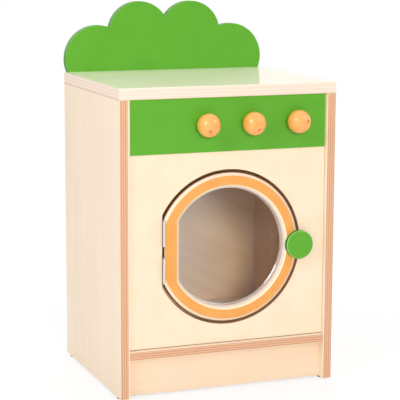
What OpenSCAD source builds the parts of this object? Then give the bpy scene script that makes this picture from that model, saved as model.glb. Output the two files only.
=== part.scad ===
// Toy washing machine for a nursery: a board cabinet with a hinged round door,
// three turning knobs on a control panel and a cloud-shaped upstand.
// Front faces -Y. The origin is on the floor under the middle of the whole object.

/* [Cabinet] */
// Outside width of the cabinet
cabinet_w = 440; // [410:1:520]
// Depth of the side panels
cabinet_d = 364; // [300:1:450]
// Height of the side panels, without glides
side_h = 569; // [540:1:640]
// Thickness of the carcass boards
board_t = 18; // [16:0.5:21]
// Thickness of the worktop board
top_t = 22; // [18:0.5:28]
// Clear height under the bottom shelf, inside the side panels
plinth_h = 73.5; // [60:0.5:100]
// How far the plinth stands back from the front edges
plinth_setback = 20; // [10:1:40]
// Thickness of the back panel
back_t = 8; // [4:0.5:10]
// How far the back panel is let into its grooves
groove_depth = 6; // [4:0.5:7]
// Wood left behind the back panel's groove
groove_margin = 6; // [4:0.5:8]
// Height of the rail under the rear of the worktop
rail_h = 70; // [50:1:90]

/* [Front] */
// Height of the control panel
control_h = 104; // [90:1:130]
// How far the control panel lies behind the side panels' front edges
control_inset = 2; // [0:0.5:3]
// How far the front panel lies behind the side panels' front edges
front_inset = 8; // [5:0.5:12]
// Visible joint between the front boards and their neighbours
reveal = 0.6; // [0.3:0.1:0.9]

/* [Door] */
// How far the door's centre lies above the middle of the front panel
door_rise = 1; // [-20:0.5:20]
// Radius of the door opening
opening_r = 151; // [130:0.5:155]
// Gap between the door ring and the opening
door_gap = 5.5; // [3:0.5:8]
// How far the flat hinge side cuts into the opening's circle
hinge_side_cut = 17.1; // [12:0.1:25]
// Gap between the flat hinge edge and the opening
hinge_gap = 3.9; // [3.6:0.1:5]
// Thickness of the door ring
ring_t = 18; // [16:0.5:21]
// How far the door's face lies behind the side panels' front edges
door_inset = 2; // [1:0.5:3]
// Width of the round part of the ring
ring_w = 30; // [27:0.5:45]
// Width of the ring along its flat hinge edge
stile_w = 30; // [26:0.5:40]
// Width of the bevels round the ring's face
ring_bevel = 6.5; // [2:0.5:7]
// Thickness of the clear pane behind the ring
pane_t = 3; // [2:0.5:5]
// How far the pane laps over the back of the ring
pane_lap = 9; // [7:0.5:11]
// Number of screws round the pane
pane_screw_count = 7; // [5:1:10]

/* [Handle and catch] */
// Diameter of the round handle
handle_d = 56; // [48:1:60]
// Thickness of the handle
handle_t = 10; // [8:0.5:14]
// Distance from the ring's outer edge in to the handle's centre
handle_inset = 0.5; // [0:0.5:8]
// How far the handle's centre lies below the door's centre
handle_drop = 3; // [0:0.5:5]
// How deep the handle screws reach into the handle
handle_bite = 6; // [4:0.5:7]
// Half the distance between the two handle screws
handle_screw_z = 17; // [13:0.5:18]
// Distance from the ring's outer edge in to the handle screws
handle_screw_set = 14.5; // [11:0.5:16]
// Height of the strike plate and of the catch
catch_h = 18; // [14:1:20]
// Width of the catch behind the front panel
catch_w = 30; // [24:1:40]
// Distance of the catch's screws from the opening's edge
catch_screw_set = 18; // [12:1:20]
// Distance between the catch's two screws
catch_screw_pitch = 9; // [6.5:0.5:12]
// Gap between the catch's nose and the opening's edge
catch_side_gap = 2; // [1:0.5:4]
// Depth of the catch behind the front panel
catch_d = 12; // [8:1:16]
// Ring left bare on each side of the strike plate
strike_margin = 1; // [0.5:0.5:3]
// Distance from the strike plate's middle to the near side of the catch's nose
catch_nose_step = 4.5; // [4:0.5:6]
// Thickness of the strike plate
strike_t = 1; // [0.8:0.1:1.5]
// Air between the closed strike plate and the magnet
catch_air = 0.3; // [0.2:0.05:0.5]

/* [Hinges] */
// Length of each butt hinge
hinge_l = 50; // [40:1:54]
// Distance between the two hinges' centres
hinge_pitch = 72; // [62:1:76]
// Length of each end knuckle
end_knuckle = 11.5; // [8:0.5:15]
// Outer radius of the knuckles
knuckle_r = 2.4; // [2.1:0.1:2.5]
// Gap between the knuckles and the door's flat edge
knuckle_gap = 0.1; // [0.05:0.05:0.3]
// Radius of the hinge pin
pin_r = 1.25; // [1:0.05:1.4]
// Thickness of a hinge leaf
leaf_t = 1.2; // [1:0.1:1.4]
// How far a leaf reaches into the gap, from the pin's axis
leaf_w = 17; // [14:0.5:18]
// How far the pin's axis lies behind the side panels' front edges
hinge_axis_y = 0.5; // [0:0.1:0.8]
// Distance of a leaf's screws from the pin's axis
leaf_screw_set = 10.5; // [8:0.5:12]
// Distance between the two screws of a leaf
leaf_screw_pitch = 30; // [20:1:34]
// Slack between knuckles of different leaves
knuckle_slack = 0.3; // [0.2:0.05:0.5]

/* [Knobs] */
// Diameter of a ball knob
knob_d = 45; // [38:0.5:50]
// Distance from a ball's centre to its flat back
knob_back = 20; // [16:0.5:21]
// Gap between a knob and the control panel
knob_gap = 0.5; // [0.3:0.1:1]
// Distance between neighbouring knobs
knob_pitch = 92.3; // [80:0.1:98]
// Distance from the middle of the cabinet to the right-hand knob
right_knob_x = 134; // [125:0.5:150]
// Height of the knobs above the control panel's lower edge
knob_rise = 53.7; // [45:0.1:60]
// Radius of a knob's axle
axle_r = 5; // [4:0.5:6]
// How deep the axle is glued into the ball
axle_socket = 22; // [16:1:28]
// Radius of the retaining washer
washer_r = 12; // [9:0.5:15]
// Thickness of the retaining washer
washer_t = 6; // [4:0.5:8]
// Angle between a knob's axis and its pointer dimple
dimple_tilt = 28; // [20:1:40]
// Radius of the pointer dimple
dimple_r = 2.3; // [1:0.1:3]
// How deep the pointer dimple is
dimple_depth = 1.6; // [1:0.1:3]

/* [Cloud upstand] */
// Thickness of the cloud board
cloud_t = 18; // [12:0.5:21]
// Radius of the end lobes
end_lobe_r = 69.5; // [60:0.5:72]
// Distance from the middle to an end lobe's centre
end_lobe_x = 146.5; // [135:0.5:150]
// Height of an end lobe's centre above the worktop
end_lobe_rise = 25; // [18:0.5:34]
// Radius of the middle lobes
mid_lobe_r = 65.5; // [60:0.5:72]
// Distance from the middle to a middle lobe's centre
mid_lobe_x = 56.5; // [50:0.5:62]
// Height of a middle lobe's centre above the worktop
mid_lobe_rise = 77; // [70:0.5:84]

/* [Fixings] */
// Radius of a dowel
dowel_r = 4; // [3:0.5:4.5]
// Length of a dowel
dowel_l = 30; // [24:1:32]
// Depth of a dowel hole in the outer board
dowel_bite = 12; // [10:0.5:13]
// Distance between the two dowels at the end of a narrow board
pair_pitch = 34; // [26:1:40]
// Distance between neighbouring dowels at the sides of the front panel
front_dowel_pitch = 90; // [60:1:105]
// Air left at the end of a dowel, nail or screw
end_air = 0.5; // [0.2:0.1:1]
// Distance of the outer dowels from the front and rear edges
dowel_edge = 40; // [30:1:60]
// Radius of the screw shanks in the cloud board
cloud_screw_r = 2; // [1.5:0.1:2.2]
// Length of the screws in the cloud board
cloud_screw_l = 38; // [32:1:45]
// Distance between the cloud screws in the worktop's rear edge
cloud_screw_pitch = 79; // [50:1:90]
// Distance between the cloud screws in the rear rail
rail_screw_pitch = 117; // [60:1:140]
// Radius of the small screws in hinges, pane and catch
small_screw_r = 1.3; // [1:0.1:1.4]
// Length of the small screws
small_screw_l = 12; // [10:0.5:13]
// Radius of the screws in the knob axles and the handle
knob_screw_r = 1.8; // [1.5:0.1:2]
// Length of the screws in the knob axles
knob_screw_l = 22; // [16:1:26]
// Radius of a floor glide
glide_r = 8; // [6:0.5:8.5]
// Height of a floor glide
glide_h = 4; // [3:0.5:6]
// Distance of a glide's centre from the front or rear edge
glide_setback = 25; // [15:1:50]
// Radius of a glide's nail
nail_r = 1.5; // [1:0.1:2]
// Length of a glide's nail
nail_l = 16; // [12:1:20]

/* [Hidden] */
$fn = 96;
slip = 0.05;          // radial clearance of screws, dowels and pins in their holes
cut = 1;              // how far a cutting body runs past the face that it cuts

maple = "#f2dfc4";
cream = "#fbe8c8";
green = "#6cb440";
orange = "#f6a84e";
birch = "#e9c9a0";
steel = "#c9c9c6";
black = "#26262a";
clear_pane = [0.85, 0.9, 0.92, 0.35];

half_w = cabinet_w / 2;
inner_x = half_w - board_t;
side_top = glide_h + side_h;
worktop_z = side_top + top_t;
shelf_z = glide_h + plinth_h;
shelf_top = shelf_z + board_t;
control_z = side_top - control_h;
rail_z = side_top - rail_h;

// front to back: the knobs reach forward and the cloud board stands behind the cabinet
knob_reach = knob_gap + knob_back + knob_d / 2 - control_inset;
front_y = (knob_reach - cabinet_d - cloud_t) / 2;
rear_y = front_y + cabinet_d;
control_y = front_y + control_inset;
front_board_y = front_y + front_inset;
front_board_back = front_board_y + board_t;
plinth_y = front_y + plinth_setback;
back_y = rear_y - groove_margin - back_t;

// door and hinge
door_z = (shelf_top + control_z) / 2 + door_rise;
door_y = front_y + door_inset;
door_back = door_y + ring_t;
ring_r = opening_r - door_gap;
opening_flat = opening_r - hinge_side_cut;
door_flat = opening_flat - hinge_gap;
window_r = ring_r - ring_w;
window_flat = door_flat - stile_w;
handle_x = ring_r - handle_inset;
handle_z = door_z - handle_drop;
handle_screw_x = ring_r - handle_screw_set;
pane_r = window_r + pane_lap;
pane_flat = window_flat + pane_lap;
hinge_x = -door_flat - knuckle_r - knuckle_gap;
hinge_y = front_y + hinge_axis_y;
leaf_end_y = hinge_y + leaf_w;
leaf_screw_y = hinge_y + leaf_screw_set;
mid_knuckle = hinge_l - 2 * (end_knuckle + knuckle_slack);
pane_screw_ring = window_r + pane_lap / 2;
strike_x = (pane_r + ring_r) / 2;
strike_w = ring_r - pane_r - 2 * strike_margin;
catch_nose = strike_x + catch_nose_step;
catch_face = door_back + strike_t + catch_air;

// the pane's screws share the round part evenly, clear of the hinge edge
pane_arc_angle = 240;
pane_screw_angles = [for (i = [0:pane_screw_count - 1])
    -pane_arc_angle / 2 + i * pane_arc_angle / (pane_screw_count - 1)];

// knobs, left to right
knob_xs = [for (i = [-2:0]) right_knob_x + i * knob_pitch];
knob_turns = [207, 171, 79];
knob_z = control_z + knob_rise;
knob_y = control_y - knob_gap - knob_back;
panel_back_y = control_y + board_t;
axle_end_y = panel_back_y + knob_gap;

// where the dowels go: [y, z] in the side panels, then y in the top edges
dowel_inner = dowel_l - dowel_bite + 2 * end_air;
shelf_dowels = [for (y = [front_y + dowel_edge, (front_y + rear_y) / 2, rear_y - dowel_edge])
    [y, shelf_z + board_t / 2]];
plinth_dowels = [for (s = [-1, 1]) [plinth_y + board_t / 2, glide_h + (plinth_h + s * pair_pitch) / 2]];
control_dowels = [for (s = [-1, 1]) [control_y + board_t / 2, control_z + (control_h + s * pair_pitch) / 2]];
front_dowels = [for (i = [-1.5:1.5])
    [front_board_y + board_t / 2, (shelf_top + control_z) / 2 + i * front_dowel_pitch]];
rail_dowels = [for (s = [-1, 1]) [rear_y - board_t / 2, rail_z + (rail_h + s * pair_pitch) / 2]];
side_dowels = concat(shelf_dowels, plinth_dowels, control_dowels, front_dowels, rail_dowels);
top_dowels = [front_y + dowel_edge, (front_y + rear_y) / 2, rear_y - dowel_edge];

cloud_foot_z = worktop_z + end_lobe_rise - end_lobe_r;
top_screw_z = side_top + top_t / 2;
rail_screw_z = (cloud_foot_z + side_top) / 2;
cloud_screws_at = concat(
    [for (i = [-2:2]) [i * cloud_screw_pitch, top_screw_z]],
    [for (i = [-1:1]) [i * rail_screw_pitch, rail_screw_z]]);

// ---- helpers ----

// a board from its lowest corner to its highest corner
module board(low, high) translate(low) cube(high - low);

// a round bar of radius r along +X, +Y or +Z from a point
module bar_x(p, r, l) translate(p) rotate([0, 90, 0]) cylinder(r = r, h = l);
module bar_y(p, r, l) translate(p) rotate([-90, 0, 0]) cylinder(r = r, h = l);
module bar_z(p, r, l) translate(p) cylinder(r = r, h = l);

// a disc in the door's plane whose left side is cut flat, y deep
module flatted_disc(r, flat, y0, y1) intersection() {
    bar_y([0, y0, door_z], r, y1 - y0);
    board([-flat, y0 - cut, door_z - r - cut], [r + cut, y1 + cut, door_z + r + cut]);
}

// the horizontal dowel holes in a board's end, s = -1 left or 1 right
module end_holes(at, s) for (p = at)
    bar_x([s * inner_x - dowel_inner, p[0], p[1]], dowel_r + slip, 2 * dowel_inner);

// the horizontal dowel holes in a side panel, blind towards the outside
module side_holes(s) for (p = side_dowels)
    bar_x([s > 0 ? inner_x - cut : -inner_x - dowel_bite, p[0], p[1]], dowel_r + slip, dowel_bite + cut);

// the vertical dowel holes between worktop and side panels
module top_holes() for (s = [-1, 1], y = top_dowels)
    bar_z([s * (half_w - board_t / 2), y, side_top - dowel_inner],
        dowel_r + slip, dowel_inner + dowel_bite);

// the room of the back panel, with its slack
module back_groove() board(
    [-inner_x - groove_depth, back_y - slip, shelf_top - groove_depth],
    [inner_x + groove_depth, back_y + back_t + slip, rail_z + groove_depth]);

// a countersunk screw along +X from its head's flat: head radius, shank radius, length
module countersunk(head_r, r, l, head_h, extra = 0) rotate([0, 90, 0]) {
    cylinder(r1 = head_r + extra, r2 = r + extra, h = head_h);
    cylinder(r = r + extra, h = l);
}

// a pan-head screw along -Y, its head's seat at the origin
module pan_screw(head_r, head_h, r, l) {
    rotate([90, 0, 0]) cylinder(r = r, h = l);
    rotate([-90, 0, 0]) cylinder(r = head_r, h = head_h);
}

// ---- cabinet ----

module side_panel(s) difference() {
    board([s > 0 ? inner_x : -half_w, front_y, glide_h], [s > 0 ? half_w : -inner_x, rear_y, side_top]);
    side_holes(s);
    top_holes();
    back_groove();
    for (y = [front_y + glide_setback, rear_y - glide_setback])
        bar_z([s * (half_w - board_t / 2), y, glide_h - cut], nail_r + slip, nail_l + end_air + cut);
}

module left_side_panel() color(maple) side_panel(-1);

module right_side_panel() color(maple) side_panel(1);

module top_panel() color(maple) difference() {
    board([-half_w, front_y, side_top], [half_w, rear_y, worktop_z]);
    top_holes();
    cloud_screw_holes();
}

module bottom_shelf() color(maple) difference() {
    board([-inner_x, front_y, shelf_z], [inner_x, rear_y, shelf_top]);
    for (s = [-1, 1]) end_holes(shelf_dowels, s);
    back_groove();
}

module plinth_board() color(maple) difference() {
    board([-inner_x, plinth_y, glide_h], [inner_x, plinth_y + board_t, shelf_z]);
    for (s = [-1, 1]) end_holes(plinth_dowels, s);
}

module back_panel() color(birch) board(
    [-inner_x - groove_depth + reveal, back_y, shelf_top - groove_depth],
    [inner_x + groove_depth - reveal, back_y + back_t, rail_z + groove_depth - reveal]);

module rear_rail() color(maple) difference() {
    board([-inner_x, rear_y - board_t, rail_z], [inner_x, rear_y, side_top]);
    for (s = [-1, 1]) end_holes(rail_dowels, s);
    back_groove();
    cloud_screw_holes();
}

module control_panel() color(green) difference() {
    board([-inner_x + reveal, control_y, control_z], [inner_x - reveal, control_y + board_t, side_top]);
    for (s = [-1, 1]) end_holes(control_dowels, s);
    for (x = knob_xs) bar_y([x, control_y - cut, knob_z], axle_r + slip, board_t + 2 * cut);
}

module front_panel() color(cream) difference() {
    board([-inner_x + reveal, front_board_y, shelf_top + reveal],
        [inner_x - reveal, front_board_back, control_z - reveal]);
    flatted_disc(opening_r, opening_flat, front_board_y - cut, front_board_back + cut);
    for (s = [-1, 1]) end_holes(front_dowels, s);
    leaf_screws_at() frame_screw(slip);
    for (z = [-1, 1]) bar_y([catch_screw_x, front_board_back - small_screw_l, door_z + z * catch_screw_pitch / 2],
        small_screw_r + slip, small_screw_l + cut);
}

module cloud_shape() {
    for (s = [-1, 1]) {
        translate([s * end_lobe_x, worktop_z + end_lobe_rise]) circle(r = end_lobe_r);
        translate([s * mid_lobe_x, worktop_z + mid_lobe_rise]) circle(r = mid_lobe_r);
    }
    translate([-end_lobe_x, cloud_foot_z])
        square([2 * end_lobe_x, worktop_z + mid_lobe_rise - cloud_foot_z]);
}

module cloud_backboard() color(green) difference() {
    translate([0, rear_y + cloud_t, 0]) rotate([90, 0, 0]) linear_extrude(cloud_t) cloud_shape();
    cloud_screw_holes();
}

// ---- cabinet fixings ----

module carcass_dowels() color(birch) {
    for (s = [-1, 1], p = side_dowels)
        bar_x([s * inner_x - (s > 0 ? dowel_inner : dowel_bite) + end_air, p[0], p[1]],
            dowel_r, dowel_l);
    for (s = [-1, 1], y = top_dowels)
        bar_z([s * (half_w - board_t / 2), y, side_top - dowel_inner + end_air], dowel_r, dowel_l);
}

cloud_head_r = 2 * cloud_screw_r;

module cloud_screw(extra = 0) rotate([0, 0, -90])
    countersunk(cloud_head_r, cloud_screw_r, cloud_screw_l, cloud_screw_r, extra);

module cloud_screw_holes() for (p = cloud_screws_at)
    translate([p[0], rear_y + cloud_t, p[1]]) cloud_screw(slip);

module cloud_screws() color(steel) for (p = cloud_screws_at)
    translate([p[0], rear_y + cloud_t, p[1]]) cloud_screw();

module floor_glides() color(black)
    for (s = [-1, 1], y = [front_y + glide_setback, rear_y - glide_setback])
        translate([s * (half_w - board_t / 2), y, 0]) {
            cylinder(r = glide_r, h = glide_h);
            cylinder(r = nail_r, h = glide_h + nail_l);
        }

// ---- hinges: the frame leaf has the middle knuckle, the door leaf the two outer ones ----

frame_leaf_x = -opening_flat;
door_leaf_x = -door_flat - leaf_t;
leaf_head_r = small_screw_r + leaf_t;

module leaf_screws_at() for (h = [-1, 1], k = [-1, 1])
    translate([0, leaf_screw_y, door_z + h * hinge_pitch / 2 + k * leaf_screw_pitch / 2]) children();

module frame_screw(extra = 0) translate([frame_leaf_x + leaf_t, 0, 0]) mirror([1, 0, 0])
    countersunk(leaf_head_r, small_screw_r, small_screw_l, leaf_t, extra);

module door_screw(extra = 0) translate([door_leaf_x, 0, 0])
    countersunk(leaf_head_r, small_screw_r, small_screw_l, leaf_t, extra);

module knuckle(z, l) bar_z([hinge_x, hinge_y, z], knuckle_r, l);

module pin_bore(z) bar_z([hinge_x, hinge_y, z - hinge_l], pin_r + slip, 2 * hinge_l);

// a leaf's plate lies clear of the other leaf's knuckles, and a tang joins it to each of its own
module leaf_plate(x, z) board(
    [x, hinge_y + knuckle_r + knuckle_slack, z - hinge_l / 2],
    [x + leaf_t, leaf_end_y, z + hinge_l / 2]);

module tang(x, z, l) board([x, hinge_y, z], [x + leaf_t, hinge_y + knuckle_r + 2 * knuckle_slack, z + l]);

module frame_leaf(z) difference() {
    union() {
        leaf_plate(frame_leaf_x, z);
        tang(frame_leaf_x, z - mid_knuckle / 2, mid_knuckle);
        knuckle(z - mid_knuckle / 2, mid_knuckle);
    }
    pin_bore(z);
    leaf_screws_at() frame_screw(slip);
}

module door_leaf(z) difference() {
    union() {
        leaf_plate(door_leaf_x, z);
        for (low = [z - hinge_l / 2, z + hinge_l / 2 - end_knuckle]) {
            tang(door_leaf_x, low, end_knuckle);
            knuckle(low, end_knuckle);
        }
    }
    pin_bore(z);
    leaf_screws_at() door_screw(slip);
}

upper_hinge_z = door_z + hinge_pitch / 2;
lower_hinge_z = door_z - hinge_pitch / 2;

module hinge_pin(z) bar_z([hinge_x, hinge_y, z - hinge_l / 2], pin_r, hinge_l);

module upper_hinge_frame_leaf() color(steel) frame_leaf(upper_hinge_z);

module upper_hinge_door_leaf() color(steel) door_leaf(upper_hinge_z);

module upper_hinge_pin() color(steel) hinge_pin(upper_hinge_z);

module lower_hinge_frame_leaf() color(steel) frame_leaf(lower_hinge_z);

module lower_hinge_door_leaf() color(steel) door_leaf(lower_hinge_z);

module lower_hinge_pin() color(steel) hinge_pin(lower_hinge_z);

module hinge_frame_screws() color(steel) leaf_screws_at() frame_screw();

module hinge_door_screws() color(steel) leaf_screws_at() door_screw();

// ---- door ----

// a bevelled rim: the round part as a cone, the flat part as a sloping cut
module face_bevel(r, flat, grow) intersection() {
    translate([0, door_y - cut, door_z]) rotate([-90, 0, 0])
        cylinder(r1 = r + grow + cut, r2 = r - ring_t + grow, h = ring_t + cut);
    translate([0, 0, door_z - 2 * r]) linear_extrude(4 * r) polygon([
        [-flat - grow - cut, door_y - cut], [-flat + ring_t - grow, door_y + ring_t],
        [2 * r, door_y + ring_t], [2 * r, door_y - cut]]);
}

module door_ring() color(orange) difference() {
    intersection() {
        flatted_disc(ring_r, door_flat, door_y, door_back);
        translate([0, door_y, door_z]) rotate([-90, 0, 0])
            cylinder(r1 = ring_r - ring_bevel, r2 = ring_r - ring_bevel + ring_t, h = ring_t);
    }
    flatted_disc(window_r, window_flat, door_y - cut, door_back + cut);
    face_bevel(window_r, window_flat, ring_bevel);
    leaf_screws_at() door_screw(slip);
    for (a = pane_screw_angles) pane_screw_at(a)
        bar_y([0, -small_screw_l, 0], small_screw_r + slip, small_screw_l + cut);
    for (z = [-1, 1])
        bar_y([handle_screw_x, door_y - cut, handle_z + z * handle_screw_z], knob_screw_r + slip, ring_t + 2 * cut);
    bar_y([strike_x, door_back - small_screw_l, door_z], small_screw_r + slip, small_screw_l + cut);
}

module pane_screw_at(a)
    translate([pane_screw_ring * cos(a), door_back, door_z + pane_screw_ring * sin(a)]) children();

module door_window() color(clear_pane) difference() {
    flatted_disc(pane_r, pane_flat, door_back, door_back + pane_t);
    for (a = pane_screw_angles) pane_screw_at(a)
        bar_y([0, -cut, 0], small_screw_r + slip, pane_t + 2 * cut);
}

module window_screws() color(steel) for (a = pane_screw_angles)
    pane_screw_at(a) translate([0, pane_t, 0])
        pan_screw(2 * small_screw_r, small_screw_r, small_screw_r, small_screw_l);

module door_handle() color(green) difference() {
    bar_y([handle_x, door_y - handle_t, handle_z], handle_d / 2, handle_t);
    for (z = [-1, 1])
        bar_y([handle_screw_x, door_y - handle_bite - end_air, handle_z + z * handle_screw_z],
            knob_screw_r + slip, handle_t);
}

module handle_screws() color(steel) for (z = [-1, 1])
    translate([handle_screw_x, door_back, handle_z + z * handle_screw_z])
        pan_screw(2 * knob_screw_r, knob_screw_r, knob_screw_r, ring_t + handle_bite);

module strike_plate() color(steel) difference() {
    board([strike_x - strike_w / 2, door_back, door_z - catch_h / 2],
        [strike_x + strike_w / 2, door_back + strike_t, door_z + catch_h / 2]);
    bar_y([strike_x, door_back - cut, door_z], small_screw_r + slip, strike_t + 2 * cut);
}

module strike_screw() color(steel) translate([strike_x, door_back + strike_t, door_z])
    pan_screw(2 * small_screw_r, small_screw_r, small_screw_r, small_screw_l);

// the catch sits behind the front panel, and its magnet's nose looks out beside the opening's edge
catch_end_x = opening_r + catch_w;
catch_screw_x = opening_r + catch_screw_set;

module magnetic_catch() color(black) difference() {
    union() {
        board([catch_nose, front_board_back, door_z - catch_h / 2],
            [catch_end_x, front_board_back + catch_d, door_z + catch_h / 2]);
        board([catch_nose, catch_face, door_z - catch_h / 2],
            [opening_r - catch_side_gap, front_board_back + catch_d, door_z + catch_h / 2]);
    }
    for (z = [-1, 1]) bar_y([catch_screw_x, front_board_back - cut, door_z + z * catch_screw_pitch / 2],
        small_screw_r + slip, catch_d + 2 * cut);
}

module catch_screws() color(steel) for (z = [-1, 1])
    translate([catch_screw_x, front_board_back + catch_d, door_z + z * catch_screw_pitch / 2])
        pan_screw(2 * small_screw_r, small_screw_r, small_screw_r, catch_d + small_screw_l - end_air);

// ---- knobs: ball, glued axle, retaining washer and its screw, i = 0 left, 1 middle, 2 right ----

module at_knob(i) translate([knob_xs[i], knob_y, knob_z]) children();

module knob(i) color(orange) at_knob(i) difference() {
    rotate([-90, 0, 0]) rotate_extrude() intersection() {
        circle(d = knob_d);
        translate([0, -knob_d]) square([knob_d, knob_d + knob_back]);
    }
    bar_y([0, knob_back - axle_socket, 0], axle_r + slip, axle_socket + cut);
    rotate([0, knob_turns[i], 0]) rotate([-dimple_tilt, 0, 0])
        bar_y([0, -knob_d / 2 - cut, 0], dimple_r, dimple_depth + cut);
}

module knob_axle(i) color(birch) difference() {
    bar_y([knob_xs[i], knob_y + knob_back - axle_socket + slip, knob_z], axle_r,
        axle_end_y - knob_y - knob_back + axle_socket - slip);
    bar_y([knob_xs[i], axle_end_y - knob_screw_l, knob_z], knob_screw_r + slip, knob_screw_l + cut);
}

module knob_washer(i) color(birch) difference() {
    bar_y([knob_xs[i], axle_end_y, knob_z], washer_r, washer_t);
    bar_y([knob_xs[i], axle_end_y - cut, knob_z], knob_screw_r + slip, washer_t + 2 * cut);
}

module knob_screw(i) color(steel) translate([knob_xs[i], axle_end_y + washer_t, knob_z])
    pan_screw(2 * knob_screw_r, knob_screw_r, knob_screw_r, knob_screw_l);

module left_knob() knob(0);

module left_knob_axle() knob_axle(0);

module left_knob_washer() knob_washer(0);

module left_knob_screw() knob_screw(0);

module middle_knob() knob(1);

module middle_knob_axle() knob_axle(1);

module middle_knob_washer() knob_washer(1);

module middle_knob_screw() knob_screw(1);

module right_knob() knob(2);

module right_knob_axle() knob_axle(2);

module right_knob_washer() knob_washer(2);

module right_knob_screw() knob_screw(2);

left_side_panel();
right_side_panel();
top_panel();
bottom_shelf();
plinth_board();
back_panel();
rear_rail();
control_panel();
front_panel();
cloud_backboard();
carcass_dowels();
cloud_screws();
floor_glides();
upper_hinge_frame_leaf();
upper_hinge_door_leaf();
upper_hinge_pin();
lower_hinge_frame_leaf();
lower_hinge_door_leaf();
lower_hinge_pin();
hinge_frame_screws();
hinge_door_screws();
door_ring();
door_window();
window_screws();
door_handle();
handle_screws();
strike_plate();
strike_screw();
magnetic_catch();
catch_screws();
left_knob();
left_knob_axle();
left_knob_washer();
left_knob_screw();
middle_knob();
middle_knob_axle();
middle_knob_washer();
middle_knob_screw();
right_knob();
right_knob_axle();
right_knob_washer();
right_knob_screw();
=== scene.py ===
"""Toy washing machine: boards, door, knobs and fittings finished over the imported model."""

from math import cos, pi, radians, sin

import bmesh
import bpy
from mathutils import Matrix, Vector


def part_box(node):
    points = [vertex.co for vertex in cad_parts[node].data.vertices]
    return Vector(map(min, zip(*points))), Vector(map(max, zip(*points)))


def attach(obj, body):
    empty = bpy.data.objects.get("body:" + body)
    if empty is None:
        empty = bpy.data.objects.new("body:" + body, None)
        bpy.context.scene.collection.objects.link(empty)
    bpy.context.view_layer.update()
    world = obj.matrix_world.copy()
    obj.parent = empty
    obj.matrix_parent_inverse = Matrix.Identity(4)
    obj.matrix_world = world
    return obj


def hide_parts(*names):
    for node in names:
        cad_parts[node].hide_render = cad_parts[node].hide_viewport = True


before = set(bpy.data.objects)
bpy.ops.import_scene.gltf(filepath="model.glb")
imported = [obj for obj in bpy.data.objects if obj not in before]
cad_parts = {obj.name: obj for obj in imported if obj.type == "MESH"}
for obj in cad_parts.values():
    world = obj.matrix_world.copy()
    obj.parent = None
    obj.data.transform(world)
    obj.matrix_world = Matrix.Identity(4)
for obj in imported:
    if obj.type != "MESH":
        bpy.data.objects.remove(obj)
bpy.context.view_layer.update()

MM = 0.001
RIGHT = Vector((1, 0, 0))
REAR = Vector((0, 1, 0))
UP = Vector((0, 0, 1))


# ---- sizes that several finishes and shapes share ----

SIDE_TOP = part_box("left_side_panel")[1].z
SHELF_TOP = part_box("bottom_shelf")[1].z
FRONTS_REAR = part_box("front_panel")[1].y

RING_RADIUS = 145.5 * MM     # outside of the door ring
RING_CREST = 130.5 * MM      # middle of its width, between the inner and the outer bevel
FLAT_CREST = -115 * MM       # the same on the flat beside the hinges, along X
INNER_BEVEL = 2.2 * MM       # depth at which the inner bevel meets the wall of the opening
OUTER_BEVEL = 4.8 * MM       # depth at which the outer bevel meets the sawn wall

PORE_DEPTH = 0.05 * MM
COAT_DEPTH = 0.03 * MM


# ---- colours, as a screen shows them, 0 to 255 ----

def screen(red, green, blue):
    """A screen colour as the linear colour that shaders take."""
    def linear(value):
        value /= 255
        return value / 12.92 if value <= 0.04045 else ((value + 0.055) / 1.055) ** 2.4
    return (linear(red), linear(green), linear(blue), 1.0)


MAPLE = screen(252, 232, 208)
MAPLE_STREAK = screen(247, 225, 199)
TOP_MAPLE = screen(250, 243, 222)
TOP_STREAK = screen(247, 237, 211)
# painted shade of the inner faces inside the cabinet
INTERIOR_SHADE = screen(242, 203, 158)
INTERIOR_SHADE_STREAK = screen(230, 187, 140)
PLY = screen(227, 179, 145)
PLY_LAYER = screen(204, 148, 111)
EDGE_BAND = screen(245, 225, 208)
EDGE_BAND_LAYER = screen(240, 216, 198)
# painted shade in the groove of a seam
SEAM_SHADE = screen(222, 194, 166)
PLINTH = screen(248, 222, 194)
PLINTH_STREAK = screen(243, 214, 182)
CREAM = screen(250, 227, 199)
CREAM_STREAK = screen(247, 222, 191)
RAW_EDGE = screen(224, 174, 134)
RAW_STREAK = screen(204, 150, 108)
BARE_EDGE = screen(255, 243, 208)
BARE_STREAK = screen(250, 234, 194)
# painted shade on the wall of the ring's opening
OPENING_WALL_SHADE = screen(238, 216, 198)
BARE_BEVEL = screen(245, 225, 198)
# painted shade of the gap round the door ring
GAP_SHADE_WALL = screen(132, 84, 56)
BIRCH = screen(254, 222, 179)
BIRCH_STREAK = screen(240, 202, 156)
GREEN = screen(93, 168, 43)
GREEN_DEEP = screen(89, 164, 40)
# painted shade on the green sides, and a painted highlight on the arris
GREEN_SIDE_SHADE = screen(64, 140, 22)
GREEN_ARRIS_HIGHLIGHT = screen(140, 198, 108)
ORANGE = screen(238, 167, 88)
ORANGE_DEEP = screen(236, 160, 80)
KNOB_ORANGE = screen(247, 170, 76)
KNOB_DEEP = screen(243, 156, 64)
DIMPLE = screen(226, 112, 34)
# painted shade along the foot of the front panel
FOOT_SHADE = screen(150, 132, 98)
STEEL = screen(250, 245, 242)
STEEL_DARK = screen(226, 220, 216)
STEEL_SHADED = screen(78, 62, 52)
BLACK = screen(26, 26, 28)
BLACK_SCUFFED = screen(48, 48, 52)
PANE_TINT = (0.93, 0.95, 0.97, 1)
WHITE = (1, 1, 1, 1)
FLOOR_BOUNCE = (0.84, 0.84, 0.84, 1)
FLOOR_WHITE = (0.97, 0.97, 0.97, 1)


# ---- shader maths and finishes ----

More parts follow.
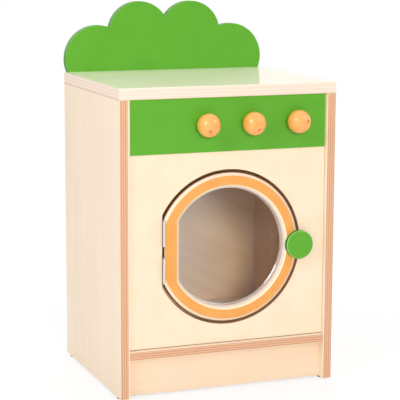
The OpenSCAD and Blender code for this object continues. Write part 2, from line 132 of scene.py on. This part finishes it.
class Signal:
    """A value that varies over a surface. Arithmetic on it adds Math nodes."""

    def __init__(self, finish, socket):
        self.finish = finish
        self.socket = socket

    def maths(self, operation, *values):
        return self.finish.node("ShaderNodeMath", {"operation": operation}, dict(enumerate(values)))

    def __add__(self, other):
        return self.maths("ADD", self, other)

    def __sub__(self, other):
        return self.maths("SUBTRACT", self, other)

    def __rsub__(self, other):
        return self.maths("SUBTRACT", other, self)

    def __mul__(self, other):
        return self.maths("MULTIPLY", self, other)

    __radd__ = __add__
    __rmul__ = __mul__

    def sine(self):
        return self.maths("SINE", self)

    def magnitude(self):
        return self.maths("ABSOLUTE", self)

    def between(self, start, end):
        """0 up to start and 1 from end on, smooth in between."""
        inputs = {"Value": self, "From Min": start, "From Max": end}
        return self.finish.node("ShaderNodeMapRange", {"interpolation_type": "SMOOTHSTEP"}, inputs)


class Finish:
    """A material with one Principled surface, fed by signals or plain values."""

    def __init__(self, name, constants, slant=0.0):
        self.slant = slant
        self.material = bpy.data.materials.new(name)
        self.material.use_nodes = True
        self.tree = self.material.node_tree
        self.surface = self.tree.nodes["Principled BSDF"]
        self.place = self.node("ShaderNodeTexCoord", {}, {}, "Object")
        for socket, value in constants.items():
            self.feed(socket, value)

    def connect(self, socket, value):
        if isinstance(value, Signal):
            self.tree.links.new(value.socket, socket)
        else:
            socket.default_value = value

    def node(self, kind, settings, inputs, output=0):
        """Adds a node, its settings first and then its sockets, and gives one of its outputs."""
        node = self.tree.nodes.new(kind)
        for setting, value in settings.items():
            setattr(node, setting, value)
        for socket, value in inputs.items():
            self.connect(node.inputs[socket], value)
        return Signal(self, node.outputs[output])

    def feed(self, socket, value):
        self.connect(self.surface.inputs[socket], value)

    def along(self, axis):
        """How far along X, Y or Z the surface lies, in metres."""
        return self.node("ShaderNodeSeparateXYZ", {}, {0: self.place}, "XYZ".index(axis))

    def reach(self, centre, place=None):
        """How far the surface, or a place worked out from it, lies from a centre, in metres."""
        return self.node("ShaderNodeVectorMath", {"operation": "DISTANCE"},
                         {0: place or self.place, 1: centre}, "Value")

    def noise(self, scale, fibres=None, slow=1.0, detail=3, distortion=0.0):
        """Noise of about 1/scale metres, drawn out along the fibres where slow is below 1."""
        stretch = tuple(slow if letter == fibres else 1.0 for letter in "XYZ")
        place = self.node("ShaderNodeMapping", {"vector_type": "TEXTURE"},
                          {"Vector": self.place, "Rotation": (0, self.slant, 0),
                           "Scale": tuple(1 / value for value in stretch)})
        inputs = {"Vector": place, "Scale": scale, "Detail": detail}
        inputs.update({"Roughness": 0.55, "Distortion": distortion})
        return self.node("ShaderNodeTexNoise", {}, inputs)

    def mix(self, amount, low, high):
        """The colour low where amount is 0 and high where it is 1."""
        return self.node("ShaderNodeMix", {"data_type": "RGBA"}, {0: amount, 6: low, 7: high}, 2)

    def bump(self, height, depth):
        self.feed("Normal", self.node("ShaderNodeBump", {}, {"Height": height, "Distance": depth}))

    def wood(self, fibres, tone, streak):
        """The colour and the pores of a wooden face whose fibres run along an axis."""
        clouds = self.noise(6, fibres, 0.4, detail=2)
        growth = self.noise(48, fibres, 0.05, detail=4, distortion=0.3)
        pores = self.noise(300, fibres, 0.03, detail=2)
        figure = clouds * 0.4 + growth * 0.45 + pores * 0.2
        return self.mix(figure.between(0.38, 0.7), tone, streak), pores

    def paint(self, scale, tone, deep):
        """The colour of a coat that lies a little deeper in patches."""
        return self.mix(self.noise(scale, detail=4).between(0.35, 0.75), tone, deep)


def veneered(name, node, fibres, across, tone=MAPLE, streak=MAPLE_STREAK, layer=PLY,
             layer_dark=PLY_LAYER, plies=8, skin=1.3 * MM, seam=None, polished=False, inner=0):
    """Face veneer on both sides of a board, its layers on the edges, and painted shade along a
    seam.

    inner is 1 or -1 for the side that gets painted shade, above the shelf and behind the fronts.
    """
    low, high = (corner["XYZ".index(across)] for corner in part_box(node))
    half = (high - low) / 2
    finish = Finish(name, {"Roughness": 0.45})
    face, pores = finish.wood(fibres, tone, streak)
    depth = finish.along(across) - (low + high) / 2
    if inner:
        # painted shade: the inner side is darker above the shelf and behind the fronts, inside the
        # closed cabinet
        plain, pores = finish.wood(fibres, INTERIOR_SHADE, INTERIOR_SHADE_STREAK)
        inside = (depth * inner).between(half - 0.5 * MM, half - 0.1 * MM)
        inside = inside * finish.along("Z").between(SHELF_TOP - 2 * MM, SHELF_TOP)
        inside = inside * finish.along("Y").between(FRONTS_REAR - 3 * MM, FRONTS_REAR)
        face = finish.mix(inside, face, plain)
    fleck = finish.noise(700, across, 2.5, detail=2) * 0.4
    layers = (depth * (pi * plies / (2 * half)) + 0.4).sine() + fleck
    edge = finish.mix(layers.between(-0.9, 0.7), layer_dark, layer)
    is_face = (depth + inner * 0.5 * MM).magnitude().between(half - skin, half - skin * 0.8)
    colour = finish.mix(is_face, edge, face)
    if seam:
        axis, level = seam
        off_seam = (finish.along(axis) - level).magnitude()
        # painted shade: a darker line in the groove along the seam
        colour = finish.mix(off_seam.between(0.5 * MM, 1.6 * MM), SEAM_SHADE, colour)
    finish.feed("Base Color", colour)
    if polished:
        finish.feed("Specular IOR Level", 0.2)
        finish.feed("Coat Roughness", 0.045)
        finish.feed("Coat Weight", is_face * 0.62)
    else:
        finish.bump(pores, PORE_DEPTH)
    return finish.material


def solid_wood(name, fibres, tone, streak, roughness=0.5, slant=0.0):
    """Bare wood of one piece. Its fibres may slant from their axis, turned about Y."""
    finish = Finish(name, {"Roughness": roughness}, radians(slant))
    face, pores = finish.wood(fibres, tone, streak)
    finish.feed("Base Color", face)
    finish.bump(pores, PORE_DEPTH)
    return finish.material


def front_coat(name, node, paint, deep, bare, bare_streak, ring=False, foot=False):
    """A coat on the front face, which faces -Y, and bare wood behind it.

    A ring has an inner bevel, with painted shade on the wall of the opening behind it, and, past
    its crest, an outer bevel and a sawn wall painted dark as shade in the gap. A foot is a line of
    painted shade along the lower edge, where the panel meets the shelf.
    """
    low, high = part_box(node)
    finish = Finish(name, {"Roughness": 0.42, "Specular IOR Level": 0.4})
    colour = finish.paint(18, paint, deep)
    wood, pores = finish.wood("X", bare, bare_streak)
    depth = finish.along("Y") - low.y
    if ring:
        middle = (high.x - RING_RADIUS, 0, (low.z + high.z) / 2)
        level = finish.node("ShaderNodeVectorMath", {"operation": "MULTIPLY"},
                            {0: finish.place, 1: (1, 0, 1)})
        outside = finish.reach(middle, level).between(RING_CREST, RING_CREST + MM)
        beside = (FLAT_CREST - finish.along("X")).between(0, MM)
        outside = outside.maths("MAXIMUM", outside, beside)
        # painted shade: the wall of the opening behind the inner bevel is a little darker than the
        # bevel
        inner_side = finish.mix(depth.between(INNER_BEVEL, INNER_BEVEL + MM), wood, OPENING_WALL_SHADE)
        # painted shade: past the outer bevel the ring's sawn wall is painted dark, as shade in the
        # gap round it
        past_bevel = depth.between(OUTER_BEVEL, OUTER_BEVEL + 0.9 * MM)
        wood = finish.mix(outside, inner_side, finish.mix(past_bevel, BARE_BEVEL, GAP_SHADE_WALL))
    if foot:
        rise = finish.along("Z") - low.z
        # painted shade: a dark line along the foot, where the panel meets the shelf
        colour = finish.mix(rise.between(0.5 * MM, 1.4 * MM), FOOT_SHADE, colour)
    finish.feed("Base Color", finish.mix(depth.between(0.15 * MM, 0.5 * MM), colour, wood))
    finish.bump(finish.noise(350) + pores, COAT_DEPTH)
    return finish.material


def painted_all(name, node):
    """Green all over, with painted shade on the sides and a painted highlight along the front
    arris.
    """
    low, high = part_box(node)
    half = (high.y - low.y) / 2
    finish = Finish(name, {"Roughness": 0.35, "Specular IOR Level": 0.38})
    face = finish.paint(12, GREEN, GREEN_DEEP)
    forward = (low.y + high.y) / 2 - finish.along("Y")
    # painted shade on the sides, and a painted highlight along the front arris
    sides = finish.mix(forward.between(half - 1.9 * MM, half - 1.2 * MM), GREEN_SIDE_SHADE, GREEN_ARRIS_HIGHLIGHT)
    on_face = forward.between(half - 0.35 * MM, half - 0.1 * MM)
    finish.feed("Base Color", finish.mix(on_face, sides, face))
    finish.bump(finish.noise(350), COAT_DEPTH)
    return finish.material


def knob_lacquer(name, dimple, radius):
    """Gloss orange over turned wood, darker in the pointer dimple."""
    constants = {"Roughness": 0.45, "Coat Weight": 1.0, "Coat Roughness": 0.16, "Coat IOR": 1.75}
    finish = Finish(name, constants)
    turned = finish.noise(90, "Y", 0.2, detail=4)
    body = finish.mix(turned.between(0.35, 0.8), KNOB_ORANGE, KNOB_DEEP)
    off_dimple = finish.reach(dimple).between(radius * 1.1, radius * 1.6)
    finish.feed("Base Color", finish.mix(off_dimple, DIMPLE, body))
    finish.bump(turned, COAT_DEPTH)
    return finish.material


def zinc_plate(name, shaded=None):
    """Bright zinc, painted dark behind the shaded level as shade of the gap round the door."""
    finish = Finish(name, {"Metallic": 1.0})
    brushed = finish.noise(900, "Z", 0.1, detail=2)
    colour = finish.mix(brushed.between(0.3, 0.7), STEEL_DARK, STEEL)
    if shaded is not None:
        past = finish.along("Y").between(shaded - 0.2 * MM, shaded + 0.2 * MM)
        colour = finish.mix(past, colour, STEEL_SHADED)
    finish.feed("Base Color", colour)
    finish.feed("Roughness", 0.22 + brushed * 0.2)
    finish.bump(brushed, 0.01 * MM)
    return finish.material


def clear_sheet():
    """Polished clear sheet: see-through, and more of a mirror towards grazing angles."""
    finish = Finish("clear_sheet", {"Base Color": PANE_TINT, "Metallic": 1.0, "Roughness": 0.02})
    slant = finish.node("ShaderNodeLayerWeight", {}, {"Blend": 0.5}, "Facing")
    grazing = slant.maths("POWER", slant, 5)
    smear = finish.noise(14, detail=2).between(0.4, 0.75)
    # painted reflection: the sheet mirrors more towards its left part
    left_glare = (0 - finish.along("X")).between(-30 * MM, 110 * MM)
    lip = (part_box("door_window")[0].y - finish.along("Y")).between(0, 0.3 * MM)
    finish.feed("Alpha", grazing * 0.9 + smear * 0.01 + left_glare * 0.1 + lip * 0.28 + 0.022)
    return finish.material


def dull_plastic():
    """Black moulded plastic, greyer where it is scuffed."""
    finish = Finish("dull_plastic", {"Roughness": 0.5})
    scuffs = finish.noise(260, detail=4)
    finish.feed("Base Color", finish.mix(scuffs.between(0.5, 0.8), BLACK, BLACK_SCUFFED))
    finish.bump(scuffs, PORE_DEPTH)
    return finish.material


# ---- mesh helpers ----

def joined(node):
    """A bmesh of a CAD node, its loose triangles joined into flat faces."""
    bm = bmesh.new()
    bm.from_mesh(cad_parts[node].data)
    bmesh.ops.remove_doubles(bm, verts=bm.verts, dist=0.01 * MM)
    bmesh.ops.dissolve_limit(bm, angle_limit=radians(0.6), verts=bm.verts, edges=bm.edges)
    return bm


def solids(node):
    """(lowest corner, highest corner) of each separate solid of a CAD node."""
    bm = joined(node)
    found = []
    left = set(bm.verts)
    while left:
        front = [left.pop()]
        solid = list(front)
        while front:
            vert = front.pop()
            for edge in vert.link_edges:
                other = edge.other_vert(vert)
                if other in left:
                    left.remove(other)
                    front.append(other)
                    solid.append(other)
        low = Vector([min(v.co[i] for v in solid) for i in range(3)])
        high = Vector([max(v.co[i] for v in solid) for i in range(3)])
        found.append((low, high))
    bm.free()
    return sorted(found, key=lambda corners: tuple(corners[0]))


def only(parts, kind):
    """The parts of one kind, such as edges, out of what an operator gives."""
    return [part for part in parts if isinstance(part, kind)]


def always(point):
    return True


def round_over(bm, width, segments=3, where=always):
    """Rounds the sharp outward edges whose middle passes the test."""
    chosen = [edge for edge in bm.edges if len(edge.link_faces) == 2
              and edge.calc_face_angle_signed() > radians(32)
              and where((edge.verts[0].co + edge.verts[1].co) / 2)]
    bmesh.ops.bevel(bm, geom=chosen, offset=width, offset_type="OFFSET", segments=segments,
                    profile=0.5, affect="EDGES", clamp_overlap=True, material=-1)


def piece(name, bm, material, body, nodes, crease=40):
    """Makes the mesh a piece of the object, smooth except at edges sharper than crease."""
    bmesh.ops.remove_doubles(bm, verts=bm.verts, dist=0.001 * MM)
    bmesh.ops.recalc_face_normals(bm, faces=bm.faces)
    for face in bm.faces:
        face.smooth = True
    for edge in bm.edges:
        edge.smooth = len(edge.link_faces) == 2 and edge.calc_face_angle() < radians(crease)
    mesh = bpy.data.meshes.new(name)
    bm.to_mesh(mesh)
    bm.free()
    if "custom_normal" in mesh.attributes:
        mesh.attributes.remove(mesh.attributes["custom_normal"])
    mesh.materials.clear()
    mesh.materials.append(material)
    obj = bpy.data.objects.new(name, mesh)
    bpy.context.scene.collection.objects.link(obj)
    even = obj.modifiers.new("even_shading", "WEIGHTED_NORMAL")
    even.keep_sharp = True
    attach(obj, body)
    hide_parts(*nodes)


def finish_node(node, material):
    """Gives a CAD node that keeps its shape its finish."""
    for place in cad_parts[node].material_slots:
        place.material = material


def stand(bm, verts, centre, axis):
    """Turns local Z along axis and moves the origin to centre."""
    turn = UP.rotation_difference(Vector(axis)).to_matrix().to_4x4()
    bmesh.ops.transform(bm, matrix=Matrix.Translation(centre) @ turn, verts=verts)


def lathe(bm, profile, centre, axis, steps):
    """Adds a profile of (radius, height) points, spun round an axis through centre."""
    verts = [bm.verts.new((radius, 0, height)) for radius, height in profile]
    edges = [bm.edges.new(pair) for pair in zip(verts, verts[1:])]
    before = set(bm.verts) - set(verts)
    bmesh.ops.spin(bm, geom=verts + edges, cent=(0, 0, 0), axis=(0, 0, 1),
                   angle=2 * pi, steps=steps, use_merge=True)
    stand(bm, [vert for vert in bm.verts if vert not in before], centre, axis)


def arc(across, up, radius, start, end, steps):
    """(radius, height) points of an arc round (across, up), start and end in degrees."""
    turns = [radians(start + (end - start) * i / steps) for i in range(steps + 1)]
    return [(across + radius * cos(turn), up + radius * sin(turn)) for turn in turns]


# ---- boards ----

def board(node, material, arris, chamfers=()):
    """A cabinet board: the CAD shape with its edges eased, and chamfered where the tests say."""
    bm = joined(node)
    for width, where in chamfers:
        round_over(bm, width, 1, where)
    round_over(bm, arris)
    piece(node + "_eased", bm, material, "cabinet", [node])


for hand, inner in (("left", 1), ("right", -1)):
    veneer = veneered(hand + "_side_veneer", hand + "_side_panel", "Z", "X", seam=("Z", SIDE_TOP),
                      inner=inner)
    board(hand + "_side_panel", veneer, 1.5 * MM)

board("top_panel",
      veneered("worktop_veneer", "top_panel", "X", "Z", TOP_MAPLE, TOP_STREAK, EDGE_BAND,
               EDGE_BAND_LAYER, plies=7, skin=1.5 * MM, seam=("Z", SIDE_TOP), polished=True),
      1.8 * MM)
board("bottom_shelf", veneered("shelf_veneer", "bottom_shelf", "X", "Z"), 1.2 * MM)
board("plinth_board", solid_wood("plinth_maple", "X", PLINTH, PLINTH_STREAK),
      1.0 * MM)
board("rear_rail", veneered("rail_veneer", "rear_rail", "X", "Z"), 1.0 * MM)
board("back_panel", solid_wood("back_birch", "X", BIRCH, BIRCH_STREAK, 0.6, slant=28),
      0.4 * MM)

CONTROL_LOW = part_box("control_panel")[0]
CONTROL_END = 201 * MM


def at_control_end(point):
    """Along the upright front edges of the control panel."""
    return point.y < CONTROL_LOW.y + MM and abs(point.x) > CONTROL_END


def at_control_foot(point):
    """Along the lower front edge of the control panel."""
    return point.y < CONTROL_LOW.y + MM and point.z < CONTROL_LOW.z + MM


board("control_panel",
      front_coat("control_green", "control_panel", GREEN, GREEN_DEEP, BARE_EDGE, BARE_STREAK),
      0.4 * MM, [(2.8 * MM, at_control_end), (0.8 * MM, at_control_foot)])
board("front_panel",
      front_coat("front_cream", "front_panel", CREAM, CREAM_STREAK, RAW_EDGE, RAW_STREAK,
                 foot=True),
      0.6 * MM)
board("cloud_backboard", painted_all("cloud_green", "cloud_backboard"), 2.0 * MM)

finish_node("carcass_dowels", solid_wood("turned_birch", "X", BIRCH, BIRCH_STREAK, 0.65))


# ---- screws, whose shares are of the head's radius ----

HEAD_GRID = 0.8
PAN_FLAT = 0.72
HEAD_THICK = 0.5
CROSS_ARM = 0.5
CROSS_HALF = 0.12
CROSS_DEPTH = 0.3


def cross_screw(bm, head, shank, length, sunk, centre, axis):
    """A screw with a cross recess, its head's top at centre and facing along axis."""
    made = bmesh.ops.create_grid(bm, x_segments=5, y_segments=5, size=1)["verts"]
    rows = sorted({round(vert.co.x, 4) for vert in made})
    shares = (-HEAD_GRID, -CROSS_ARM, -CROSS_HALF, CROSS_HALF, CROSS_ARM, HEAD_GRID)
    lines = dict(zip(rows, shares))
    for vert in made:
        vert.co.x = lines[round(vert.co.x, 4)] * head
        vert.co.y = lines[round(vert.co.y, 4)] * head
    faces = {face for vert in made for face in vert.link_faces}
    recess = []
    for face in faces:
        across, up = (abs(value) for value in face.calc_center_median().xy)
        if max(across, up) < CROSS_ARM * head and min(across, up) < CROSS_HALF * head:
            recess.append(face)
    rim = list(dict.fromkeys(edge for face in faces for edge in face.edges if edge.is_boundary))
    for vert in {vert for edge in rim for vert in edge.verts}:
        vert.co.xy = vert.co.xy.normalized() * head * (1 if sunk else PAN_FLAT)
    steps = [(shank, head * HEAD_THICK)]
    if not sunk:
        steps = [(head * 0.94, head * 0.2), (head, head * HEAD_THICK)] + steps
    steps += [(shank, length - 2 * shank), (0.15 * shank, length)]
    for radius, drop in steps:
        grown = bmesh.ops.extrude_edge_only(bm, edges=rim)["geom"]
        rim = only(grown, bmesh.types.BMEdge)
        ring = only(grown, bmesh.types.BMVert)
        for vert in ring:
            vert.co = vert.co.xy.normalized().to_3d() * radius - UP * drop
        made += ring
    bmesh.ops.edgeloop_fill(bm, edges=rim)
    sunk_in = bmesh.ops.extrude_face_region(bm, geom=recess)["geom"]
    bmesh.ops.delete(bm, geom=recess, context="FACES_ONLY")
    floor = only(sunk_in, bmesh.types.BMVert)
    bmesh.ops.translate(bm, vec=-UP * head * CROSS_DEPTH, verts=floor)
    bmesh.ops.scale(bm, vec=(0.75, 0.75, 1), verts=floor)
    stand(bm, made + floor, centre, axis)


def screw_set(node, body, axis, head, shank, sunk=False):
    """Every screw of a CAD node, each where its solid is. Head and shank are radii."""
    bm = bmesh.new()
    along = [abs(value) for value in axis].index(1)
    for low, high in solids(node):
        top = (low + high) / 2
        top[along] = (high if axis[along] > 0 else low)[along]
        cross_screw(bm, head, shank, high[along] - low[along], sunk, top, axis)
    piece(node + "_cross_head", bm, ZINC, body, [node])


ZINC = zinc_plate("zinc_plate")
screw_set("cloud_screws", "cabinet", REAR, 4.0 * MM, 2.0 * MM, sunk=True)
screw_set("hinge_frame_screws", "cabinet", RIGHT, 2.5 * MM, 1.3 * MM, sunk=True)
screw_set("hinge_door_screws", "door", -RIGHT, 2.5 * MM, 1.3 * MM, sunk=True)
screw_set("window_screws", "door", REAR, 2.6 * MM, 1.3 * MM)
screw_set("handle_screws", "door", REAR, 3.6 * MM, 1.8 * MM)
screw_set("strike_screw", "door", REAR, 2.6 * MM, 1.3 * MM)
screw_set("catch_screws", "cabinet", REAR, 2.6 * MM, 1.3 * MM)


# ---- door ----

def fitting(node, material, body, arris, segments=2, where=always):
    """A small part: the CAD shape with its edges eased."""
    bm = joined(node)
    round_over(bm, arris, segments, where)
    piece(node + "_eased", bm, material, body, [node])


fitting("door_ring",
        front_coat("door_orange", "door_ring", ORANGE, ORANGE_DEEP, BARE_EDGE, BARE_STREAK,
                   ring=True),
        "door", 0.7 * MM)

PANE_RADIUS = 124.5 * MM
LIP_RADIUS = 115.2 * MM
LIP_FLAT = -99.7 * MM
LIP_STEPS = ((0, 2.0), (0.4, 2.0), (1.3, 1.1), (2.2, 0.1), (2.6, 0))    # (inset, rise) in mm


def window_pane():
    """The clear pane, with a moulded lip that lines the ring's opening."""
    lip = bmesh.new()
    bmesh.ops.create_circle(lip, cap_ends=True, segments=120, radius=LIP_RADIUS)
    bmesh.ops.bisect_plane(lip, geom=[*lip.verts, *lip.edges, *lip.faces], dist=1e-7,
                           plane_co=(LIP_FLAT, 0, 0), plane_no=RIGHT, clear_inner=True)
    bmesh.ops.delete(lip, geom=lip.faces[:], context="FACES_ONLY")
    foot = rim = lip.edges[:]
    reach = 1.0
    for inset, rise in LIP_STEPS:
        grown = bmesh.ops.extrude_edge_only(lip, edges=rim)["geom"]
        rim = only(grown, bmesh.types.BMEdge)
        shrink = (1 - inset * MM / LIP_RADIUS) / reach
        reach *= shrink
        for vert in only(grown, bmesh.types.BMVert):
            vert.co = Vector((vert.co.x * shrink, vert.co.y * shrink, rise * MM))
    bmesh.ops.bridge_loops(lip, edges=foot + rim)
    low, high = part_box("door_window")
    middle = Vector((high.x - PANE_RADIUS, low.y - 0.05 * MM, (low.z + high.z) / 2))
    bmesh.ops.transform(lip, matrix=Matrix.Translation(middle) @ Matrix.Rotation(pi / 2, 4, "X"),
                        verts=lip.verts)
    mesh = bpy.data.meshes.new("lip")
    lip.to_mesh(mesh)
    lip.free()
    bm = joined("door_window")
    round_over(bm, 0.3 * MM, 2)
    bm.from_mesh(mesh)
    bpy.data.meshes.remove(mesh)
    piece("door_window_lipped", bm, clear_sheet(), "door", ["door_window"], 50)


window_pane()

handle_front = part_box("door_handle")[0].y
fitting("door_handle", painted_all("handle_green", "door_handle"), "door",
        2.4 * MM, 5, lambda point: point.y < handle_front + MM)
fitting("strike_plate", ZINC, "door", 0.25 * MM)

DULL = dull_plastic()
fitting("magnetic_catch", DULL, "cabinet", 0.8 * MM)


# ---- hinges ----

KNUCKLE = 4.8 * MM
LEAF_ZINC = zinc_plate("zinc_frame_leaf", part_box("upper_hinge_frame_leaf")[0].y + KNUCKLE)
for row in ("upper", "lower"):
    fitting(row + "_hinge_frame_leaf", LEAF_ZINC, "cabinet", 0.2 * MM)
    fitting(row + "_hinge_door_leaf", ZINC, "door", 0.2 * MM)
    fitting(row + "_hinge_pin", ZINC, "cabinet", 0.3 * MM)


# ---- floor glides ----

NAIL = 1.5 * MM
SEAT = 4 * MM
TREAD_BEND = 1.5 * MM


def floor_glides():
    """Four nailed discs with a rounded tread."""
    bm = bmesh.new()
    for low, high in solids("floor_glides"):
        radius, tip = (high.x - low.x) / 2, high.z - low.z
        profile = [(0, 0.4 * MM), (3 * MM, 0.2 * MM), (4 * MM, 0)]
        profile += arc(radius - TREAD_BEND, TREAD_BEND, TREAD_BEND, -90, 0, 5)
        profile += [(radius, SEAT - 0.4 * MM), (radius - 0.4 * MM, SEAT), (NAIL, SEAT)]
        profile += [(NAIL, tip - 2 * MM), (0, tip)]
        centre = (low + high) / 2
        lathe(bm, profile, Vector((centre.x, centre.y, low.z)), UP, 40)
    piece("floor_glide_discs", bm, DULL, "cabinet", ["floor_glides"])


floor_glides()


# ---- knobs ----

DIMPLE_TILT = radians(28)
DIMPLE_RADIUS = 2.3 * MM
DIMPLE_DEPTH = 1.6 * MM
SOCKET_RADIUS = 5.1 * MM
SOCKET_DEPTH = 21.9 * MM


def knob(side, turn):
    """A ball with a flat back, an axle socket, and a pointer dimple at a turn from upright."""
    node = side + "_knob"
    low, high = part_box(node)
    radius = (high.x - low.x) / 2
    centre = Vector(((low.x + high.x) / 2, low.y + radius, (low.z + high.z) / 2))
    lean = sin(DIMPLE_TILT)
    axis = Vector((lean * sin(turn), -cos(DIMPLE_TILT), lean * cos(turn)))
    bowl = (DIMPLE_RADIUS ** 2 + DIMPLE_DEPTH ** 2) / (2 * DIMPLE_DEPTH)
    face = (radius ** 2 - DIMPLE_RADIUS ** 2) ** 0.5
    bottom = arc(0, face + bowl - DIMPLE_DEPTH, bowl, -90, -24, 8)
    ball = arc(0, 0, radius, 90 - 8.5, -90, 60)
    bm = bmesh.new()
    lathe(bm, [*bottom, *ball], centre, axis, 72)
    cut = bmesh.ops.bisect_plane(bm, geom=[*bm.verts, *bm.edges, *bm.faces], dist=1e-7,
                                 plane_co=(centre.x, high.y, centre.z), plane_no=REAR,
                                 clear_outer=True)["geom_cut"]
    back = bmesh.ops.edgeloop_fill(bm, edges=only(cut, bmesh.types.BMEdge))["faces"]
    flat = (radius ** 2 - (high.y - centre.y) ** 2) ** 0.5
    bmesh.ops.inset_region(bm, faces=back, thickness=flat - SOCKET_RADIUS)
    socket = bmesh.ops.extrude_discrete_faces(bm, faces=back)["faces"]
    bmesh.ops.translate(bm, vec=-REAR * SOCKET_DEPTH, verts=socket[0].verts)
    material = knob_lacquer(side + "_knob_lacquer", centre + axis * face, DIMPLE_RADIUS)
    piece(node + "_turned", bm, material, node, [node])


TURNED = solid_wood("turned_birch_axle", "Y", BIRCH, BIRCH_STREAK, 0.6)
for side, turn in (("left", 207), ("middle", 171), ("right", 79)):
    knob(side, radians(turn))
    finish_node(side + "_knob_axle", TURNED)
    fitting(side + "_knob_washer", TURNED, side + "_knob", 0.6 * MM)
    screw_set(side + "_knob_screw", side + "_knob", REAR, 3.6 * MM, 1.8 * MM)


# ---- floor, lamps, world and camera ----

AMBIENT = 0.25
LIT_POINT = Vector((0, -0.05, 0.38))


def studio():
    """White surroundings for the camera and for gloss, and a plain soft light on the object."""
    world = bpy.data.worlds.new("studio")
    bpy.context.scene.world = world
    world.use_nodes = True
    tree = world.node_tree
    background = tree.nodes["Background"]
    rays = tree.nodes.new("ShaderNodeLightPath")
    seen = rays.outputs["Is Camera Ray"]
    for ray in ("Is Glossy Ray", "Is Transmission Ray"):
        either = tree.nodes.new("ShaderNodeMath")
        either.operation = "MAXIMUM"
        tree.links.new(seen, either.inputs[0])
        tree.links.new(rays.outputs[ray], either.inputs[1])
        seen = either.outputs[0]
    level = tree.nodes.new("ShaderNodeMapRange")
    level.inputs["To Min"].default_value = AMBIENT
    tree.links.new(seen, level.inputs["Value"])
    tree.links.new(level.outputs[0], background.inputs["Strength"])
    background.inputs["Color"].default_value = WHITE


def lamp(name, toward, distance, size, level, glints=True):
    """A square soft lamp that gives this level of light on a face turned to it."""
    light = bpy.data.lights.new(name, "AREA")
    light.shape = "SQUARE"
    light.size = size
    light.energy = level * pi ** 2 * distance ** 2
    obj = bpy.data.objects.new(name, light)
    bpy.context.scene.collection.objects.link(obj)
    toward = Vector(toward).normalized()
    obj.location = LIT_POINT + toward * distance
    obj.rotation_euler = toward.to_track_quat("Z", "Y").to_euler()
    obj.visible_glossy = glints


def pale_floor():
    """A white floor that turns grey only where the object shades it."""
    bm = bmesh.new()
    bmesh.ops.create_grid(bm, x_segments=1, y_segments=1, size=15)
    mesh = bpy.data.meshes.new("pale_floor")
    bm.to_mesh(mesh)
    bm.free()
    finish = Finish("floor_paint", {"Roughness": 0.9})
    rays = finish.node("ShaderNodeLightPath", {}, {}, "Is Camera Ray")
    plain = finish.reach((0, 0, 0)).between(0.35, 0.8) * 0.25 + 0.75
    white = finish.node("ShaderNodeEmission", {}, {"Color": WHITE, "Strength": 1.0})
    finish.feed("Base Color", finish.mix(rays, FLOOR_BOUNCE, FLOOR_WHITE))
    matt = Signal(finish, finish.surface.outputs[0])
    blend = finish.node("ShaderNodeMixShader", {}, {0: rays * plain, 1: matt, 2: white})
    finish.connect(finish.tree.nodes["Material Output"].inputs["Surface"], blend)
    mesh.materials.append(finish.material)
    obj = bpy.data.objects.new("pale_floor", mesh)
    bpy.context.scene.collection.objects.link(obj)


def camera():
    """Stands at the front left, a little above, and looks down on the machine."""
    lens = bpy.data.cameras.new("view")
    lens.sensor_width = 36
    lens.lens = 134.85
    lens.shift_x = -0.000075
    lens.shift_y = -0.00196
    lens.clip_end = 50
    heading, pitch, roll = radians(-21.104), radians(80.197), radians(0.231)
    turn = Matrix.Rotation(heading, 4, "Z") @ Matrix.Rotation(pitch, 4, "X")
    obj = bpy.data.objects.new("view", lens)
    bpy.context.scene.collection.objects.link(obj)
    obj.matrix_world = (Matrix.Translation((-1.0642, -2.77004, 0.86244)) @ turn
                        @ Matrix.Rotation(roll, 4, "Z"))
    bpy.context.scene.camera = obj


studio()
lamp("key_lamp", (-0.705, -0.529, 0.468), distance=4.0, size=1.7, level=0.18)
lamp("side_lamp", (-0.8, -0.1, 0.56), distance=1.7, size=1.4, level=0.37, glints=False)
lamp("rear_lamp", (0.35, 0.9, 0.3), distance=4.0, size=2.0, level=0.4, glints=False)
lamp("right_lamp", (0.97, 0.05, 0.25), distance=4.0, size=2.0, level=0.3, glints=False)
lamp("front_lamp", (-0.17, -0.95, 0.262), distance=4.0, size=0.8, level=0.44, glints=False)
lamp("fill_lamp", (0.602, -0.49, 0.632), distance=4.0, size=1.8, level=0.1)
lamp("top_lamp", (0.0, 0.15, 0.99), distance=3.0, size=2.0, level=0.28, glints=False)
pale_floor()
camera()
bpy.context.scene.view_settings.view_transform = "Standard"
